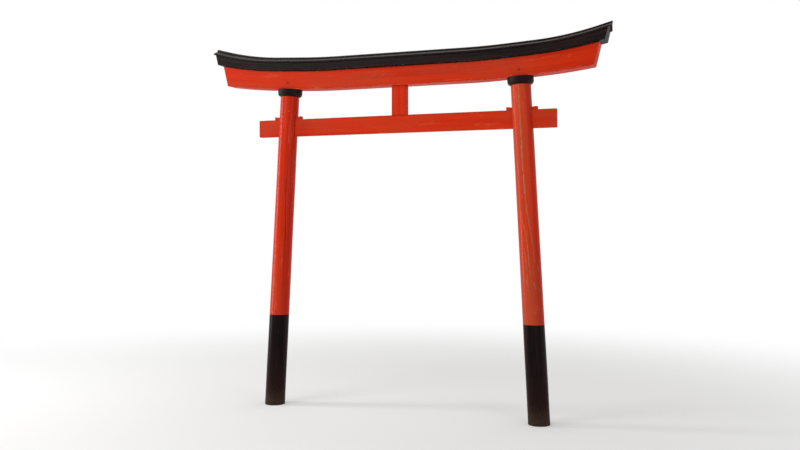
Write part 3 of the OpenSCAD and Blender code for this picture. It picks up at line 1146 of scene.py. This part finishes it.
def nail_row(node, y, rng):
    """Places of a row of nails on a roof piece at one y, and the way that they point."""
    low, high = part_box(node)
    outer = math.copysign(roof_edge(node), y)
    ridge = edge_line(node, 0, upper=True)
    count = round((high.x - low.x) / NAIL_PITCH)
    share = (np.arange(count) + 0.5) / count + rng.uniform(-NAIL_STRAY, NAIL_STRAY, count)
    top = on_line(ridge, share)
    down = on_line(edge_line(node, outer, upper=True), share, outer) - top
    ahead = on_line(ridge, share + SLOPE_STEP) - on_line(ridge, share - SLOPE_STEP)
    up = unit(np.cross(ahead, down))
    return top + down * (y / outer), up * np.sign(up[:, 2:3])


def add_nails(material, seed):
    """Domed heads of the nails in the roof boards and ridge caps, as one mesh."""
    rng = np.random.default_rng(seed)
    rows = []
    for side in SIDES:
        for face, sign in ROOF_FACES.items():
            rows += [nail_row(f"{face}_{side}_roof_board", sign * y, rng) for y in BOARD_NAILS]
        rows += [nail_row(f"{side}_ridge_cap", y, rng) for y in (-CAP_NAILS, CAP_NAILS)]
    head = turned(NAIL_PROFILE, NAIL_COLUMNS).reshape(-1, 3)
    points, faces = [], []
    for place, up in zip(*np.concatenate(rows, axis=1)):
        side = unit(np.cross(up, (1.0, 0.0, 0.0)))
        radius = NAIL_RADIUS * rng.uniform(0.9, 1.08)
        for face in tube_faces(len(NAIL_PROFILE), NAIL_COLUMNS):
            faces.append([len(points) + k for k in face])
        points += [*place + head @ (side * radius, np.cross(side, up) * radius, up * MM)]
    piece = new_piece("roof_nails", points, faces)
    finish_piece(piece, material, axes([1, 2, 0]), "roof_black")


# Stage

# Light from all around, as a share of the white that the camera sees
AMBIENT = 0.42

# The floor keeps the shadow near the gate's middle, and is white from further out
FLOOR_NEAR = 1.6
FLOOR_FAR = 7.0
FLOOR_WHITE = 0.22
FLOOR_HALF = 30.0
FLOOR_DROP = -0.4 * MM

# Lamps: place from the gate's middle on the ground, height of the aim, size and power
LAMPS = {
    "key": ((-3.8, -5.2, 4.6), 1.5, (3.0, 3.0), 120),
    "left_strip": ((-6.8, -1.6, 2.6), 1.6, (1.0, 5.2), 220),
    "fill": ((5.2, -4.2, 3.2), 1.6, (3.0, 3.0), 45),
    "top": ((0.0, 0.6, 6.6), 1.6, (5.0, 3.0), 80),
}

# The camera stands to the right of the gate's middle, at the height of a person's eyes
CAMERA_TURN = math.radians(20)
CAMERA_HEIGHT = 1.66
CAMERA_DISTANCE = 7.6
LENS = 40
SENSOR = 36


def white_world():
    """White behind the object and in its reflections, and a softer light from all around."""
    world = bpy.data.worlds.new("studio")
    bpy.context.scene.world = world
    graph = Graph(world)
    rays = graph.add("ShaderNodeLightPath", {}).outputs
    seen = Value(graph, rays["Is Camera Ray"])
    for kind in ("Is Transmission Ray", "Is Glossy Ray"):
        seen = seen.most(Value(graph, rays[kind]))
    graph.feed(graph.found("BACKGROUND"), {"Color": WHITE, "Strength": seen.ramp(0, 1, AMBIENT)})


def floor_paint(ground):
    """Pale floor that keeps the shadow near the object and turns white further out."""
    graph = Graph(bpy.data.materials.new("pale_floor"))
    shader = graph.found("BSDF_PRINCIPLED")
    graph.feed(shader, {"Base Color": PALE_FLOOR, "Roughness": 0.9, "Specular IOR Level": 0.1})
    pale = Value(graph, shader.outputs[0])
    white = graph.value("ShaderNodeEmission", {"Color": WHITE, "Strength": 1.0})
    place = graph.value("ShaderNodeNewGeometry", {}, "Position")
    away = place.vector_math("DISTANCE", ground, "Value")
    share = away.ramp(FLOOR_NEAR, FLOOR_FAR, FLOOR_WHITE)
    blend = graph.value("ShaderNodeMixShader", {0: share, 1: pale, 2: white})
    graph.feed(graph.found("OUTPUT_MATERIAL"), {"Surface": blend})
    return graph.owner


def add_floor(ground):
    mesh = bpy.data.meshes.new("floor")
    points = [(ground.x + x, y, FLOOR_DROP) for x, y in SQUARE * FLOOR_HALF]
    mesh.from_pydata(points, [], [(0, 1, 2, 3)])
    mesh.materials.append(floor_paint(ground))
    floor = add_object("floor", mesh)


def add_aimed(name, data, place, aim):
    """A lamp or camera at a place, turned towards another."""
    made = add_object(name, data)
    made.location = place
    made.rotation_euler = (aim - place).to_track_quat("-Z", "Y").to_euler()
    return made


def add_lamps(ground):
    """Soft rectangular lamps."""
    for name, (place, aim_z, size, power) in LAMPS.items():
        lamp = bpy.data.lights.new(name, "AREA")
        lamp.shape = "RECTANGLE"
        lamp.size, lamp.size_y = size
        lamp.energy = power
        add_aimed(name, lamp, ground + Vector(place), ground + Vector((0, 0, aim_z)))


def add_camera(centre):
    """Level camera, aimed at the gate's centre."""
    lens = bpy.data.cameras.new("camera")
    lens.lens = LENS
    lens.sensor_width = SENSOR
    away = Vector((math.sin(CAMERA_TURN), -math.cos(CAMERA_TURN), 0)) * CAMERA_DISTANCE
    place = Vector((centre.x, centre.y, CAMERA_HEIGHT)) + away
    bpy.context.scene.camera = add_aimed("camera", lens, place, centre)


# Drying check of the left post, with heights along the log from its foot
LEFT_CHECK = Check(
    seed=40, angle=math.radians(-52), lowest=0.88, highest=2.30, width=4.8 * MM, depth=16 * MM
)

# Runs of bare wood down the posts: height above the black, angle in degrees, half width in mm
LEFT_RUNS = (
    ((0.16, -104, 0), (0.22, -104, 1.6), (0.60, -107, 2.2), (1.20, -111, 1.8), (1.26, -112, 0)),
    ((1.08, -28, 0), (1.13, -28, 2.4), (1.35, -24, 3.0), (1.48, -22, 0))
)
RIGHT_RUNS = (
    (
        (0.285, -57, 0), (0.30, -59, 4), (0.335, -64, 4.5), (0.35, -65, 0), (0.48, -55, 0),
        (0.51, -56, 3), (0.63, -58, 3.8), (0.75, -69, 3.8), (0.86, -77, 3.6), (0.90, -80, 6.5),
        (1.15, -88, 6.5), (1.55, -91, 6)
    ),
    (
        (0.33, -75, 0), (0.37, -79, 2), (0.45, -83, 4.5), (0.52, -86, 3.8), (0.63, -87, 3.5),
        (0.75, -99, 3.5), (0.90, -116, 2.4), (0.93, -118, 0)
    ),
    (
        (0.26, -98, 0), (0.30, -99, 4), (0.36, -100, 4.5), (0.42, -100, 2.2),
        (0.50, -102, 2.8), (0.60, -108, 2.4), (0.63, -110, 0)
    ),
    (
        (0.25, -27, 0), (0.27, -31, 4), (0.285, -36, 4.5), (0.30, -38, 0), (0.415, -30, 0),
        (0.435, -33, 7.5), (0.465, -36, 7.5), (0.485, -37, 0), (0.83, -6, 0), (0.85, -7, 2),
        (0.94, -16, 5), (0.96, -16, 0), (1.18, -13, 0), (1.20, -13, 1.5), (1.30, -15, 7.5),
        (1.55, -17, 7)
    ),
    ((0.66, 118, 0), (0.70, 117, 3), (1.10, 112, 4.5), (1.50, 110, 3), (1.53, 110, 0))
)


def add_posts():
    """Both logs, with what each has of its own: base, ring and peg."""
    left_paint = post_red("paint_left_post", 1.3, 0.25, LEFT_RUNS)
    right_paint = post_red("paint_right_post", 7.9, 0.9, RIGHT_RUNS, ORANGE_RED)
    add_post("left", left_paint, seed=11, check=LEFT_CHECK)
    add_post("right", right_paint, seed=12)
    ring_paint = beam_black("paint_rings", 5.1, dusty=0.3)
    for k, side in enumerate(SIDES):
        add_base_wrap(side, base_black(f"paint_{side}_base", 3.1 + 4 * k), seed=21 + k)
        add_capital_ring(side, ring_paint, seed=31 + k)
        add_peg(side, peg_red(f"paint_{side}_peg", 2.2 + k), seed=61 + k)


def add_beams():
    """Tie beam with its wedges, strut and lower lintel."""
    lintel_paint = beam_red("paint_beams", 4.4, 0.5, pith=(0.02, 0.055))
    tie_paint = beam_red("paint_tie_beam", 9.2, 0.45, pith=(0.035, 0.06))
    add_bevelled_beam("through_beam", "tie_beam", TIE, tie_paint, 51)
    bores = [peg_bore(side) for side in SIDES]
    add_bevelled_beam("lintel_below", "lower_lintel", LINTEL, lintel_paint, 52, *bores)
    add_strut(beam_red("paint_strut", 6.6, 0.5), seed=53)
    wedge_paint = beam_red("paint_wedges", 8.8, 0.6, pith=(0.0, -0.03))
    for k, (side, place) in enumerate((s, p) for s in SIDES for p in ("outer", "inner")):
        add_wedge(side, place, wedge_paint, seed=54 + k)


def add_roof():
    """Upper lintel with its boards, caps and nails."""
    add_upper_lintel(beam_black("paint_upper_lintel", 6.3, 0.3, pith=(-0.02, 0.04)), seed=81)
    paint = beam_black("paint_roof", 2.7, 0.42, pith=(0.3, 0.1))
    for k, side in enumerate(SIDES):
        for j, face in enumerate(ROOF_FACES):
            node = f"{face}_{side}_roof_board"
            add_roof_piece(node, BOARD_SECTION, ROOF_BOARD, paint, seed=82 + 2 * k + j)
        add_roof_piece(f"{side}_ridge_cap", CAP_SECTION, RIDGE_CAP, paint, seed=90 + k)
    add_nails(rusty_iron("paint_nails"), seed=71)


def add_stage():
    low, high = cad_bounds
    centre = (low + high) / 2
    ground = Vector((centre.x, 0, 0))
    white_world()
    add_floor(ground)
    add_lamps(ground)
    add_camera(centre)
    bpy.context.scene.view_settings.view_transform = "Standard"


add_posts()
add_beams()
add_roof()
add_stage()
